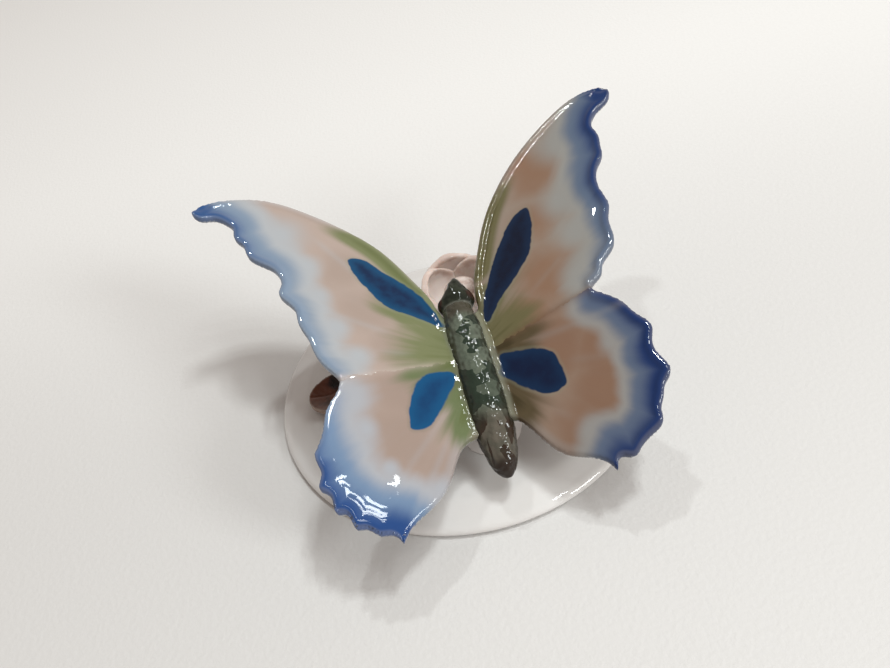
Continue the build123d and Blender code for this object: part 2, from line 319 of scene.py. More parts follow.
# Each wing: side, notch, tip or tail, end of the leading or inner edge at the body, spot, width
# in millimetres and strength of the blue wash at the notch, half way and at the tip, how far the
# deep blue reaches from the tip, how far the rim sags and how wide and high the slip at the body
# is in millimetres. A forewing also has the strength of the green below its spot, and the left
# hindwing has the shares of the way from notch to tail over which its lip sets in
WINGS = {
    "forewing_left": dict(
        side=-1, notch=(0.515, -0.055), tip=(0.99, 0.89), root=(0.02, 0.10),
        spot=LEFT_FORE_SPOT, widths=(8.0, 9.5, 13.0), strengths=(0.6, 0.75, 1.0),
        tip_reach=0.26, sag=0.0, slip=0.7, climb=0.05, under=0.85,
    ),
    "forewing_right": dict(
        side=1, notch=(0.508, 0.048), tip=(0.955, 1.0), root=(0.02, 0.14),
        spot=RIGHT_FORE_SPOT, widths=(7.0, 10.5, 12.0), strengths=(0.5, 1.0, 1.05),
        tip_reach=0.26, sag=0.0, slip=1.1, climb=0.7, under=0.35,
    ),
    "hindwing_left": dict(
        side=-1, notch=(0.515, -0.055), tip=(0.437, -0.643), root=(0.02, -0.30),
        spot=LEFT_HIND_SPOT, widths=(5.0, 11.5, 17.0), strengths=(0.3, 0.95, 1.12),
        tip_reach=0.22, sag=0.5, slip=0.7, climb=0.05, lip_fade=(0.1, 0.5),
    ),
    "hindwing_right": dict(
        side=1, notch=(0.508, 0.048), tip=(0.385, -0.585), root=(0.02, -0.27),
        spot=RIGHT_HIND_SPOT, widths=(7.5, 9.5, 9.0), strengths=(0.85, 1.25, 0.9),
        tip_reach=0.05, sag=0.15, slip=1.1, climb=0.7,
    ),
}
# White blooms dabbed between the blue wash and the field: place and radius, in shares
BLOOMS = {
    "forewing_left": (
        (0.66, 0.72, 0.12), (0.57, 0.53, 0.07), (0.545, 0.36, 0.06), (0.495, 0.19, 0.062),
        (0.435, 0.04, 0.06),
    ),
    "forewing_right": (
        (0.67, 0.84, 0.13), (0.57, 0.53, 0.11), (0.57, 0.34, 0.10), (0.52, 0.14, 0.10),
    ),
    "hindwing_left": (
        (0.49, -0.13, 0.06), (0.47, -0.25, 0.05), (0.42, -0.40, 0.04), (0.26, -0.49, 0.06),
    ),
    "hindwing_right": ((0.50, -0.02, 0.06), (0.52, -0.17, 0.05), (0.34, -0.43, 0.06)),
}
# Warm brown patches of the field, in the same form
BROWNS = {
    "forewing_left": ((0.36, 0.28, 0.14), (0.42, 0.50, 0.12), (0.30, 0.10, 0.10)),
    "forewing_right": (
        (0.52, 0.76, 0.17), (0.42, 0.50, 0.12), (0.39, 0.20, 0.17), (0.26, 0.08, 0.12),
    ),
    "hindwing_left": ((0.34, -0.30, 0.14), (0.30, -0.12, 0.12), (0.20, -0.42, 0.12)),
    "hindwing_right": (
        (0.44, -0.31, 0.14), (0.46, -0.17, 0.12), (0.32, -0.40, 0.12), (0.34, -0.10, 0.14),
    ),
}
# Veins of each wing: the turn in degrees from the crease, how far out they start and end, height
VEINS = {
    "forewing_left": ((30, 0.3, 0.7, 0.03), (52, 0.4, 0.9, 0.03), (14, 0.2, 0.4, 0.02)),
    "forewing_right": ((33, 0.55, 0.8, 0.03), (46, 0.8, 1.1, 0.03), (22, 0.3, 0.6, 0.02)),
    "hindwing_left": ((-46, 0.2, 0.6, 0.04), (-55, 0.3, 0.7, 0.05), (-30, 0.45, 0.7, 0.02)),
    "hindwing_right": ((-13, 0.2, 0.7, 0.04), (-28, 0.35, 0.65, 0.02), (-52, 0.35, 0.5, 0.03)),
}
# Shallow hollows left by a finger: place in shares, radius and depth in millimetres
HOLLOWS = {"hindwing_left": ((0.448, -0.45, 2.0, 0.12),)}
# Slopes towards +Y of the forewings' and the hindwings' upper faces beside the crease
FORE_SLOPE = 0.18
HIND_SLOPE = 0.44
# Parts of an outline too near the crease and the body to count as free, as shares of the reach
CREASE_BAND_SHARE = 0.02
ROOT_BAND_SHARE = 0.12
# Relief of the wings in millimetres: the lip along the rim and the ditch inside it, the roll of
# the leading edge at the tip, how far in the sag reaches, ripples near the seams, swells all
# over, the ridge on the crease, how much of the lip shows below, and the rise of the root there
LIP_HEIGHT = 0.26
DITCH_DEPTH = 0.05
TIP_ROLL = 0.3
SAG_WIDTH = 9.0
RIPPLE_HEIGHT = 0.045
SWELL_HEIGHT = 0.02
RIDGE_HEIGHT = 0.10
LIP_BELOW_SHARE = 0.3
ROOT_RISE_BELOW = 0.2
# How far the root and the crease edge run on under their neighbours in millimetres, and how
# steeply the hidden strip of the crease edge dips
ROOT_RUN = 0.6
CREASE_RUN = 0.6
CREASE_DIP = 0.12


def closed_curve(corners, steps=8):
    """Points along a smooth closed curve through the corners."""
    corners = np.array(corners, float)
    points = []
    for index in range(len(corners)):
        before, start, end, after = (corners[(index + k) % len(corners)] for k in (-1, 0, 1, 2))
        for share in np.arange(steps) / steps:
            points.append(
                0.5 * (2 * start + (end - before) * share
                       + (2 * before - 5 * start + 4 * end - after) * share**2
                       + (3 * start - before - 3 * end + after) * share**3)
            )
    return np.array(points)


def outside(shares, corners):
    """Signed distance in shares from a closed curve: positive outside, negative inside."""
    curve = closed_curve(corners)
    ends = np.roll(curve, -1, axis=0)
    best = np.full(len(shares), 1e9)
    inside = np.zeros(len(shares), bool)
    for start, end in zip(curve, ends):
        line = end - start
        along = np.clip(((shares - start) @ line) / max(line @ line, 1e-12), 0.0, 1.0)
        gap = shares - start - along[:, None] * line
        best = np.minimum(best, np.hypot(gap[:, 0], gap[:, 1]))
        crosses = (start[1] > shares[:, 1]) != (end[1] > shares[:, 1])
        rise = line[1] if abs(line[1]) > 1e-12 else 1e-12
        meet = start[0] + (shares[:, 1] - start[1]) / rise * line[0]
        inside ^= crosses & (shares[:, 0] < meet)
    return np.where(inside, -best, best)


def wing_shares(points, side):
    """Points in plan as shares of the reach: outward from the body, forward of the crease."""
    out = side * (points[:, 0] - BUTTERFLY_X) / WING_REACH
    forward = (points[:, 1] - CREASE_Y) / WING_REACH
    return np.stack([out, forward], axis=1)


def beyond_chord(shares, start, end):
    """Distance in shares of each point from the chord, positive on the leading side."""
    chord = np.array(end) - np.array(start)
    chord /= np.hypot(*chord)
    return (shares[:, 1] - start[1]) * chord[0] - (shares[:, 0] - start[0]) * chord[1]


def body_gap(points):
    """Distance in plan from each point to the body's flank, in metres."""
    body_points = get_points(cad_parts["body"].data)
    places = np.linspace(body_points[:, 1].min() + 1 * MM, body_points[:, 1].max() - 1 * MM, 24)
    half_widths = []
    for place in places:
        here = np.abs(body_points[:, 1] - place) < 1.2 * MM
        half_widths.append(np.abs(body_points[here, 0] - BUTTERFLY_X).max())
    return np.abs(points[:, 0] - BUTTERFLY_X) - np.interp(points[:, 1], places, half_widths)


def turn_from_crease(shares, crease_slope):
    """Turn in degrees from the crease, about the fan's root."""
    return np.degrees(np.arctan2(shares[:, 1] - crease_slope * shares[:, 0], shares[:, 0] + 0.02))


def patches_at(places, shares, wander):
    """1 in the middle of each round patch and 0 outside them all."""
    weights = np.zeros(len(shares))
    for out, forward, radius in places:
        gap = np.hypot(shares[:, 0] - out, shares[:, 1] - forward) + 0.008 * wander
        weights = np.maximum(weights, ease(1.45, 0.1, gap / radius))
    return weights


def wing_places(node, facts, obj):
    """Where each vertex of a wing lies: gaps in millimetres, shares of the reach and turns."""
    side = facts["side"]
    fore = node.startswith("fore")
    points = get_points(obj.data)
    shares = wing_shares(points, side)
    walls = side_walls(node)
    wall_shares = wing_shares(walls, side)
    crease_slope = facts["notch"][1] / facts["notch"][0]
    free = np.abs(wall_shares[:, 1] - crease_slope * wall_shares[:, 0]) > CREASE_BAND_SHARE
    free &= wall_shares[:, 0] > ROOT_BAND_SHARE
    chord_gap = beyond_chord(wall_shares, facts["root"], facts["tip"])
    # A forewing's rim lies behind its leading edge, a hindwing's lies outside its inner edge
    if fore:
        on_rim = free & (chord_gap < 0.03) & (wall_shares[:, 0] > 0.45)
    else:
        on_rim = free & ((wall_shares[:, 0] > facts["tip"][0] + 0.01) | (chord_gap > 0.12))
    wall_turns = turn_from_crease(wall_shares[on_rim], crease_slope)
    outline = np.polyfit(wall_turns, np.hypot(*wall_shares[on_rim].T), 4)
    fan = turn_from_crease(shares, crease_slope)
    reach = np.hypot(shares[:, 0], shares[:, 1])
    from_notch = np.hypot(shares[:, 0] - facts["notch"][0], shares[:, 1] - facts["notch"][1])
    from_tip = np.hypot(shares[:, 0] - facts["tip"][0], shares[:, 1] - facts["tip"][1])
    return SimpleNamespace(
        fore=fore,
        points=points,
        shares=shares,
        rim=nearest(points, walls[on_rim]) / MM,
        edge=nearest(points, walls[free & ~on_rim]) / MM,
        root_gap=body_gap(points) / MM,
        crease_gap=np.abs(shares[:, 1] - crease_slope * shares[:, 0]) * WING_REACH / MM,
        from_outline=(np.polyval(outline, fan) - reach) * WING_REACH / MM,
        fan=fan,
        reach=reach,
        from_tip=from_tip,
        along=from_notch / (from_notch + from_tip),
        top=facing_up(obj, 0.2),
        wander=rough(points, 4.5 * MM, 9 + side),
    )


def vein_relief(node, at):
    """Height of the fine veins that fan out from the body, in millimetres."""
    veins = np.zeros(len(at.points))
    for turn, start, stop, rise in VEINS[node]:
        line = rise * bell(0.0, 0.8, (at.fan - turn - 6.0 * (at.reach - start)) * at.reach)
        line *= ease(start, start + 0.1, at.reach)
        line *= ease(stop, stop - 0.1, at.reach)
        veins = np.maximum(veins, line)
    return veins


def lip_relief(facts, at):
    """Height of the lip along the rim, which fades out at the tip, in millimetres."""
    lip = LIP_HEIGHT * bell(1.0, 0.65, at.rim) - DITCH_DEPTH * bell(2.4, 0.9, at.rim)
    lip *= ease(0.02, 0.14, at.from_tip)
    if at.fore:
        lip -= TIP_ROLL * bell(0.9, 0.8, at.edge) * ease(0.36, 0.12, at.from_tip)
    if "lip_fade" in facts:
        lip *= ease(*facts["lip_fade"], at.along)
    return lip


def sag_depth(node, facts, at):
    """How far the rim sags and the finger hollows sink, in millimetres."""
    nearness = np.clip(1 - at.from_outline / SAG_WIDTH, 0, 1)
    sag = facts["sag"] * nearness**2 * ease(0.56, 0.72, at.along)
    for out, forward, radius, depth in HOLLOWS.get(node, ()):
        gap = np.hypot(at.shares[:, 0] - out, at.shares[:, 1] - forward) * WING_REACH / MM
        sag += depth * bell(0.0, radius, gap)
    return sag


def seam_relief(facts, at):
    """Height of the ripples near the seams, the swells and the ridge on the crease."""
    near_root = ease(7.0, 1.0, at.root_gap)
    near_crease = ease(3.0, 0.5, at.crease_gap)
    ripple = rough(at.points, 1.3 * MM, 1 + facts["side"]) * RIPPLE_HEIGHT
    ripple *= np.maximum(near_root, near_crease)
    ripple += rough(at.points, 9 * MM, 4 + facts["side"]) * SWELL_HEIGHT
    ridge = RIDGE_HEIGHT * bell(0.0, 1.2, at.crease_gap) * ease(0.05, 0.12, at.shares[:, 0])
    return ripple, ridge


def run_under(facts, obj, at):
    """Runs the root on into the body's flank and the crease edge under the other wing."""
    side = facts["side"]
    moved = get_points(obj.data)
    climb = ease(facts["slip"] + 0.3 * at.wander, 0.0, at.root_gap)
    moved[:, 0] -= side * ROOT_RUN * MM * climb
    moved[:, 2] += np.where(at.top, facts["climb"], ROOT_RISE_BELOW) * MM * climb
    shift = CREASE_RUN * ease(1.6, 0.2, at.crease_gap)
    past_crease = np.clip(shift - at.crease_gap, 0, None)
    own_slope, other_slope = (FORE_SLOPE, HIND_SLOPE) if at.fore else (HIND_SLOPE, FORE_SLOPE)
    ahead = -1 if at.fore else 1
    moved[:, 1] += ahead * shift * MM
    moved[:, 2] += ahead * (own_slope * shift + (other_slope - own_slope) * past_crease) * MM
    moved[:, 2] -= CREASE_DIP * past_crease * MM
    set_points(obj.data, moved)


def green_weight(facts, at, spot):
    """How green a wing is: beside and below the spot, near the body and along the inner edge."""
    if at.fore:
        beside_spot = bell(2.1, 2.2, at.edge) * ease(1.02, 0.74, at.reach)
        under_spot = ease(4.5, 0.6, spot + 0.8 * at.wander) * ease(0.60, 0.30, at.reach)
        at_root = ease(0.44, 0.14, at.reach + 0.04 * at.wander)
        return np.maximum(beside_spot, np.maximum(facts["under"] * under_spot, 0.9 * at_root))
    at_root = ease(0.36, 0.12, at.reach + 0.04 * at.wander)
    by_edge = bell(-60, 12, at.fan) * ease(0.46, 0.24, at.reach)
    over_spot = bell(-6, 8, at.fan) * ease(0.40, 0.2, at.reach)
    return np.maximum(np.maximum(at_root, by_edge), 0.8 * over_spot)


def wing(node, facts):
    """Shapes a wing from its clay, stores how strong each paint is on it, and glazes it."""
    obj = clay(node, voxel=0.27 * MM, passes=5)
    at = wing_places(node, facts, obj)
    veins = vein_relief(node, at)
    lip = lip_relief(facts, at)
    ripple, ridge = seam_relief(facts, at)
    height = veins + lip - sag_depth(node, facts, at) + ripple + ridge
    push(obj, np.where(at.top, height, LIP_BELOW_SHARE * lip) * MM)
    run_under(facts, obj, at)

    stations = (0.0, 0.5, 1.0)
    width = np.interp(at.along, stations, facts["widths"]) * (1 + 0.08 * at.wander)
    strength = np.interp(at.along, stations, facts["strengths"])
    blue = np.clip(1 - at.rim / width, 0, 1) * strength
    blue = np.maximum(blue, ease(facts["tip_reach"], 0.02, at.from_tip + 0.03 * at.wander))
    spot = outside(at.shares, facts["spot"]) * WING_REACH / MM
    weights = {
        "rim": at.rim,
        "edge": at.edge,
        "blue": blue,
        "white": patches_at(BLOOMS[node], at.shares, at.wander),
        "brown": patches_at(BROWNS[node], at.shares, at.wander),
        "green": green_weight(facts, at, spot),
        "spot": spot,
        "vein": veins / max(veins.max(), 1e-6),
        "root": ease(facts["slip"], 0.3 * facts["slip"], at.root_gap + 0.3 * at.wander),
        "crease": bell(0.0, 0.8, at.crease_gap) * ease(0.08, 0.2, at.shares[:, 0]),
        "fan": at.fan,
        "reach": at.reach,
        "below": np.where(get_normals(obj.data)[:, 2] < -0.1, 1.0, 0.0),
    }
    for name, values in weights.items():
        store(obj, name, values)
    finish_piece(obj, node, wing_glaze(node, PAINTS[node]))


# Colours of each wing: field, its warmer patches, blooms, blue wash, deep blue, moss, olive,
# the spot's middle and its edge, the crease, and the slip at the body and around the spot. The
# right wings' colours are darker than the left wings': partly painted shade. The left wings'
# crease colour, paler than their field, is a painted highlight along the ridge
PAINTS = {
    "forewing_left": dict(
        field=(0.39, 0.31, 0.27), warm=(0.345, 0.27, 0.23), pale=(0.375, 0.39, 0.41),
        wash=(0.19, 0.25, 0.335), deep=(0.026, 0.075, 0.205), moss=(0.155, 0.175, 0.08),
        olive=(0.115, 0.135, 0.05), heart=(0.003, 0.018, 0.06), ring=(0.005, 0.055, 0.135),
        # This crease colour is a painted highlight along the ridge
        crease=(0.47, 0.39, 0.35), slip=(0.23, 0.25, 0.18),
    ),
    # Darker than the left forewing's colours: partly painted shade
    "forewing_right": dict(
        field=(0.27, 0.215, 0.175), warm=(0.235, 0.14, 0.092), pale=(0.265, 0.26, 0.245),
        wash=(0.10, 0.135, 0.20), deep=(0.010, 0.032, 0.120), moss=(0.12, 0.11, 0.05),
        olive=(0.065, 0.058, 0.02), heart=(0.003, 0.007, 0.022), ring=(0.005, 0.016, 0.045),
        crease=(0.12, 0.062, 0.036), slip=(0.21, 0.22, 0.17),
    ),
    "hindwing_left": dict(
        field=(0.345, 0.265, 0.225), warm=(0.31, 0.235, 0.197), pale=(0.355, 0.365, 0.395),
        wash=(0.15, 0.225, 0.345), deep=(0.017, 0.058, 0.195), moss=(0.115, 0.15, 0.065),
        olive=(0.10, 0.12, 0.04), heart=(0.003, 0.040, 0.12), ring=(0.004, 0.068, 0.175),
        # This crease colour is a painted highlight along the ridge
        crease=(0.45, 0.37, 0.33), slip=(0.15, 0.145, 0.11),
    ),
    # Darker than the left hindwing's colours: partly painted shade
    "hindwing_right": dict(
        field=(0.24, 0.17, 0.128), warm=(0.205, 0.12, 0.08), pale=(0.245, 0.235, 0.225),
        wash=(0.088, 0.115, 0.175), deep=(0.010, 0.028, 0.105), moss=(0.070, 0.052, 0.025),
        olive=(0.03, 0.023, 0.008), heart=(0.002, 0.008, 0.032), ring=(0.003, 0.018, 0.055),
        crease=(0.12, 0.062, 0.036), slip=(0.20, 0.21, 0.16),
    ),
}


def wing_glaze(name, colours):
    """Washes of blue, white, rose beige and green under a clear glaze, with a painted spot."""
    paint = Glaze(name + "_glaze")
    fan = paint.nodes.new("ShaderNodeCombineXYZ")
    paint.feed(fan.inputs["X"], paint.times(paint.stored("fan"), 0.02))
    paint.feed(fan.inputs["Y"], paint.times(paint.stored("reach"), 0.25))
    streaks = paint.grain(0.16, 3.0, place=fan.outputs["Vector"])
    clouds = paint.grain(8 * MM, 2.0)
    soft = paint.grain(2.2 * MM, 2.0)
    brown = paint.plus(paint.stored("brown"), paint.ease(clouds, 0.3, 0.7, -0.15, 0.15))
    field = paint.mix(paint.ease(brown, -0.1, 1.05), colours["field"], colours["warm"])
    field = paint.mix(paint.ease(streaks, 0.52, 0.72, 0.0, 0.2), field, colours["warm"])
    lead = paint.ease(paint.stored("edge"), 2.0, 0.5, 0.0, 0.35)
    field = paint.mix(lead, field, colours["pale"])
    field = paint.mix(paint.stored("white"), field, colours["pale"])
    blue = paint.plus(paint.stored("blue"), paint.ease(streaks, 0.35, 0.65, -0.03, 0.03))
    field = paint.mix(paint.ease(blue, 0.0, 0.34), field, colours["pale"])
    field = paint.mix(paint.ease(blue, 0.28, 0.62), field, colours["wash"])
    field = paint.mix(paint.ease(blue, 0.58, 0.98), field, colours["deep"])
    green = paint.plus(paint.stored("green"), paint.ease(streaks, 0.35, 0.65, -0.10, 0.10))
    field = paint.mix(paint.ease(green, 0.10, 0.75, 0.0, 0.95), field, colours["moss"])
    field = paint.mix(paint.ease(green, 0.80, 1.15, 0.0, 0.8), field, colours["olive"])
    field = paint.mix(paint.times(paint.stored("vein"), 0.22), field, colours["pale"])
    # Near the crease: a painted highlight along the ridge on the left wings, a brown line on the
    # right wings
    field = paint.mix(paint.times(paint.stored("crease"), 0.7), field, colours["crease"])
    spot = paint.plus(paint.stored("spot"), paint.ease(soft, 0.3, 0.7, -0.10, 0.10))
    field = paint.mix(paint.ease(spot, 0.8, 0.15, 0.0, 0.25), field, colours["slip"])
    inner = paint.mix(paint.ease(soft, 0.35, 0.7, 0.0, 0.35), colours["heart"], colours["ring"])
    inner = paint.mix(paint.ease(spot, -2.6, -0.2), inner, colours["ring"])
    field = paint.mix(paint.ease(spot, -0.22, 0.14, 1.0, 0.0), field, inner)
    lip = paint.ease(paint.stored("rim"), 0.2, 0.8, 0.2, 0.0)
    field = paint.mix(lip, field, colours["pale"])
    field = paint.mix(paint.times(paint.stored("root"), 0.6), field, colours["slip"])
    pale_below = paint.mix(0.6, field, (0.45, 0.46, 0.47))
    field = paint.mix(paint.stored("below"), field, pale_below)
    paint.bump(paint.grain(0.9 * MM, 2.0), 0.003 * MM)
    return paint.done(field, 0.28)


for name, facts in WINGS.items():
    wing(name, facts)


# Body and head

# Relief of the body in millimetres: the rings across the abdomen and how far apart they are, how
# far they lean for each unit of height, lumps of two sizes, and the dent behind the thorax
RING_HEIGHT = 0.08
RING_SPACING = 1.3
RING_LEAN = 0.55
LUMP_HEIGHT = 0.20
SMALL_LUMP_HEIGHT = 0.15
WAIST_DEPTH = 0.15


def body():
    """A lumpy spindle with rings across the abdomen and strokes of grey green over black."""
    obj = clay("body", voxel=0.22 * MM, passes=3)
    points = get_points(obj.data)
    low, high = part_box("body")
    along = share_between(points[:, 1], low.y, high.y)
    tilt = (points[:, 1] + RING_LEAN * points[:, 2]) / MM
    across = (points[:, 0] - BUTTERFLY_X) / MM
    rings = np.cos(tilt * 2 * math.pi / RING_SPACING)
    rings *= bell(0.40, 0.10, along)
    rings *= bell(0.8, 1.0, across)
    lumps = LUMP_HEIGHT * rough(points, 2.4 * MM, 2)
    lumps += SMALL_LUMP_HEIGHT * rough(points, 0.9 * MM, 5)
    waist = -WAIST_DEPTH * bell(0.60, 0.025, along)
    push(obj, (RING_HEIGHT * rings + lumps + waist) * MM)
    # How much each vertex faces sideways, for the painted shade on the flanks
    store(obj, "flank", ease(0.45, 0.92, np.abs(get_normals(obj.data)[:, 0])))
    store(obj, "along", along)
    paint = Glaze("body_glaze_look")
    position = paint.stored("along")
    strokes = paint.patches(2.7 * MM, (0.8, 1.0, 1.0), 0.9)
    clouds = paint.grain(1.6 * MM, 3.0)
    dark = (0.022, 0.034, 0.023)
    light = (0.110, 0.130, 0.098)
    brown = (0.105, 0.092, 0.072)
    dark_brown = (0.034, 0.020, 0.013)
    ash = (0.055, 0.050, 0.035)
    flank_shade = (0.022, 0.018, 0.012)
    tail_end = (0.022, 0.014, 0.010)
    strokes = paint.plus(strokes, paint.ease(position, 0.60, 0.82, 0.0, 0.25))
    colour = paint.mix(paint.ease(strokes, 0.46, 0.50), dark, light)
    stripes = paint.patches(1.5 * MM, (1.0, 0.35, 0.35), 0.5)
    tail = paint.mix(paint.ease(stripes, 0.60, 0.66), dark_brown, brown)
    colour = paint.mix(paint.ease(position, 0.22, 0.34), tail, colour)
    colour = paint.mix(paint.ease(clouds, 0.35, 0.7, 0.0, 0.35), colour, dark)
    # The flanks, which face sideways, are darkened: painted shade
    colour = paint.mix(paint.times(paint.stored("flank"), 0.75), colour, flank_shade)
    colour = paint.mix(paint.ease(position, 0.09, 0.03), colour, tail_end)
    neck = paint.times(paint.ease(position, 0.86, 0.93), paint.ease(stripes, 0.55, 0.62))
    colour = paint.mix(neck, colour, ash)
    paint.bump(paint.grain(0.9 * MM, 2.0), 0.10 * MM)
    finish_piece(obj, "body", paint.done(colour, 0.22))


# Relief of the head in millimetres
EYE_HEIGHT = 0.25
KEEL_HEIGHT = 0.34
HEAD_LUMP_HEIGHT = 0.10


def head():
    """A kite-shaped head that rises to a keel, with an eye at each side corner."""
    obj = clay("head", voxel=0.14 * MM, passes=2)
    points = get_points(obj.data)
    low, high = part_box("head")
    along = share_between(points[:, 1], low.y, high.y)
    across = (points[:, 0] - BUTTERFLY_X) / MM
    eye = bell(0.28, 0.16, along) * ease(2.0, 3.3, np.abs(across)) * np.where(across < 0, 1.6, 0.8)
    keel = bell(0.0, 0.5, across) * bell(0.62, 0.25, along)
    lumps = HEAD_LUMP_HEIGHT * rough(points, 1.4 * MM, 3)
    push(obj, (EYE_HEIGHT * eye + KEEL_HEIGHT * keel + lumps) * MM)
    store(obj, "eye", eye)
    store(obj, "along", along)
    paint = Glaze("head_glaze_look")
    clouds = paint.grain(1.5 * MM, 3.0)
    colour = paint.mix(paint.ease(clouds, 0.4, 0.7), (0.012, 0.015, 0.010), (0.029, 0.034, 0.023))
    colour = paint.mix(paint.ease(paint.stored("eye"), 0.25, 0.8), colour, (0.03, 0.012, 0.008))
    chin = paint.ease(paint.stored("along"), 0.10, 0.02, 0.0, 0.8)
    colour = paint.mix(chin, colour, (0.17, 0.17, 0.14))
    paint.bump(paint.grain(1.0 * MM, 2.0), 0.06 * MM)
    finish_piece(obj, "head", paint.done(colour, 0.22))


body()
head()


# Blossom and leaf


# Relief of the petals and the leaf in millimetres
PETAL_LUMP_HEIGHT = 0.3
PETAL_LIP_HEIGHT = 0.25
MIDRIB_DEPTH = 0.10
LEAF_VEIN_HEIGHT = 0.015


def petal(node, seed):
    """A thick cupped petal: pale in the middle, brownish pink towards its lip, and darker towards
    its foot with painted shade.
    """
    obj = clay(node, voxel=0.24 * MM, passes=6)
    points = get_points(obj.data)
    low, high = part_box(node)
    middle = Vector((FLOWER_X, FLOWER_Y, 0.0))
    outward = (low + high) / 2 - middle
    outward.z = 0.0
    outward.normalize()
    across = np.abs((points[:, 0] - middle.x) * -outward.y + (points[:, 1] - middle.y) * outward.x)
    width = across.max()
    up = share_between(points[:, 2], low.z, high.z)
    lip = np.hypot(across / width, np.clip(up - 0.4, 0, 1) / 0.6)
    lumps = PETAL_LUMP_HEIGHT * rough(points, 3.5 * MM, seed)
    push(obj, (lumps + PETAL_LIP_HEIGHT * bell(0.95, 0.12, lip)) * MM)
    store(obj, "lip", lip)
    store(obj, "up", up)
    paint = Glaze(node + "_look")
    clouds = paint.grain(3 * MM, 3.0)
    colour = paint.mix(paint.ease(clouds, 0.3, 0.7), (0.92, 0.85, 0.81), (0.86, 0.76, 0.71))
    lip_share = paint.plus(paint.stored("lip"), paint.ease(clouds, 0.3, 0.7, -0.1, 0.1))
    colour = paint.mix(paint.ease(lip_share, 0.75, 1.0, 0.0, 0.75), colour, (0.64, 0.48, 0.415))
    # Darker and warmer towards the foot, low in the blossom: painted shade
    foot_shade_share = paint.ease(paint.stored("up"), 0.35, 0.0, 0.0, 0.7)
    colour = paint.mix(foot_shade_share, colour, (0.78, 0.66, 0.60))
    paint.bump(paint.grain(1.5 * MM, 2.0), 0.03 * MM)
    finish_piece(obj, node, paint.done(colour, 0.25, scatter=0.3))


for ring in ("outer", "inner"):
    for number in (1, 2, 3):
        petal(f"{ring}_petal_{number}", number + len(ring))


def leaf():
    """A cupped leaf with a midrib: red brown, going nearly black under the wing with painted
    shadow, and a pale rim that is partly a painted highlight.
    """
    obj = clay("leaf", voxel=0.2 * MM, passes=4)
    points = get_points(obj.data)
    low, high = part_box("leaf")
    along = share_between(points[:, 0], low.x, high.x)
    across = (points[:, 1] - (low.y + high.y) / 2) / (high.y - low.y)
    rib = bell(0.0, 0.03, across - 0.05 * np.sin(3 * along))
    veins = np.cos((along * 9 + np.abs(across) * 5) * 2 * math.pi) * ease(0.02, 0.1, np.abs(across))
    relief = -MIDRIB_DEPTH * rib + LEAF_VEIN_HEIGHT * veins
    push(obj, np.where(facing_up(obj, 0.1), relief, 0.0) * MM)
    store(obj, "along", along)
    store(obj, "rim", nearest(points, side_walls("leaf")) / MM)
    paint = Glaze("leaf_glaze_look")
    clouds = paint.grain(3 * MM, 4.0)
    split = paint.plus(paint.stored("along"), paint.ease(clouds, 0.3, 0.7, -0.2, 0.2))
    # Red brown at the leaf's outer end, nearly black at its inner end: painted shadow of the wing
    colour = paint.mix(paint.ease(split, 0.25, 0.6), (0.12, 0.036, 0.017), (0.014, 0.007, 0.005))
    # A pale rim: partly the paint fading at the edge, partly a painted highlight
    rim_fade_and_highlight = paint.ease(paint.stored("rim"), 0.5, 0.0, 0.0, 0.6)
    colour = paint.mix(rim_fade_and_highlight, colour, (0.40, 0.33, 0.28))
    paint.bump(paint.grain(1.2 * MM, 2.0), 0.03 * MM)
    finish_piece(obj, "leaf", paint.done(colour, 0.25))


leaf()


def small_piece(node, voxel, colour, tint):
    """A slightly lumpy piece of the blossom, mottled from its colour to its tint."""
    obj = clay(node, voxel, passes=3)
    points = get_points(obj.data)
    push(obj, rough(points, 1.5 * MM, 8) * 0.12 * MM)
    paint = Glaze(node + "_look")
    shade = paint.mix(paint.ease(paint.grain(1.2 * MM, 3.0), 0.3, 0.7), colour, tint)
    paint.bump(paint.grain(0.8 * MM, 2.0), 0.04 * MM)
    finish_piece(obj, node, paint.done(shade, 0.25))


small_piece("flower_foot", 0.25 * MM, (0.45, 0.36, 0.31), (0.33, 0.24, 0.20))
small_piece("flower_heart", 0.2 * MM, (0.78, 0.68, 0.63), (0.62, 0.48, 0.42))


# Plinth and support


# Top of the plinth in millimetres: where it starts to roll down, over what width the roll sets
# in, and the groove near the edge; and how steeply it rolls
ROLL_RADIUS = 35.6
ROLL_WIDTH = 0.8
ROLL_SLOPE = 0.38
GROOVE_RADIUS = 40.3
GROOVE_WIDTH = 0.6
GROOVE_DEPTH = 0.05


def white_porcelain(name, warmth):
    """White under a clear glaze, clouded a little warmer by up to the warmth."""
    paint = Glaze(name)
    clouds = paint.grain(14 * MM, 3.0)
    white = (0.70, 0.69, 0.68)
    colour = paint.mix(paint.ease(clouds, 0.3, 0.75, 0.0, warmth), white, (0.64, 0.61, 0.58))
    paint.bump(paint.grain(9 * MM, 2.0), 0.03 * MM)
    return paint.done(colour, 0.2)


def plinth():
    """The crowned disc, whose top rolls down gently towards its edge, with a faint groove there."""
    obj = clay("plinth", voxel=0.45 * MM, passes=3)
    points = get_points(obj.data)
    radius = np.hypot(points[:, 0], points[:, 1]) / MM
    groove = -GROOVE_DEPTH * bell(GROOVE_RADIUS, GROOVE_WIDTH, radius)
    relief = groove + 0.03 * rough(points, 18 * MM, 6)
    push(obj, np.where(facing_up(obj, 0.2), relief, 0.0) * MM)
    past = np.clip(radius - ROLL_RADIUS, 0, None)
    roll = ROLL_SLOPE * (past - ROLL_WIDTH * (1 - np.exp(-past / ROLL_WIDTH)))
    lowered = get_points(obj.data)
    lowered[:, 2] *= 1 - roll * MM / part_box("plinth")[1].z
    set_points(obj.data, lowered)
    finish_piece(obj, "plinth", white_porcelain("plinth_glaze_look", 0.35))


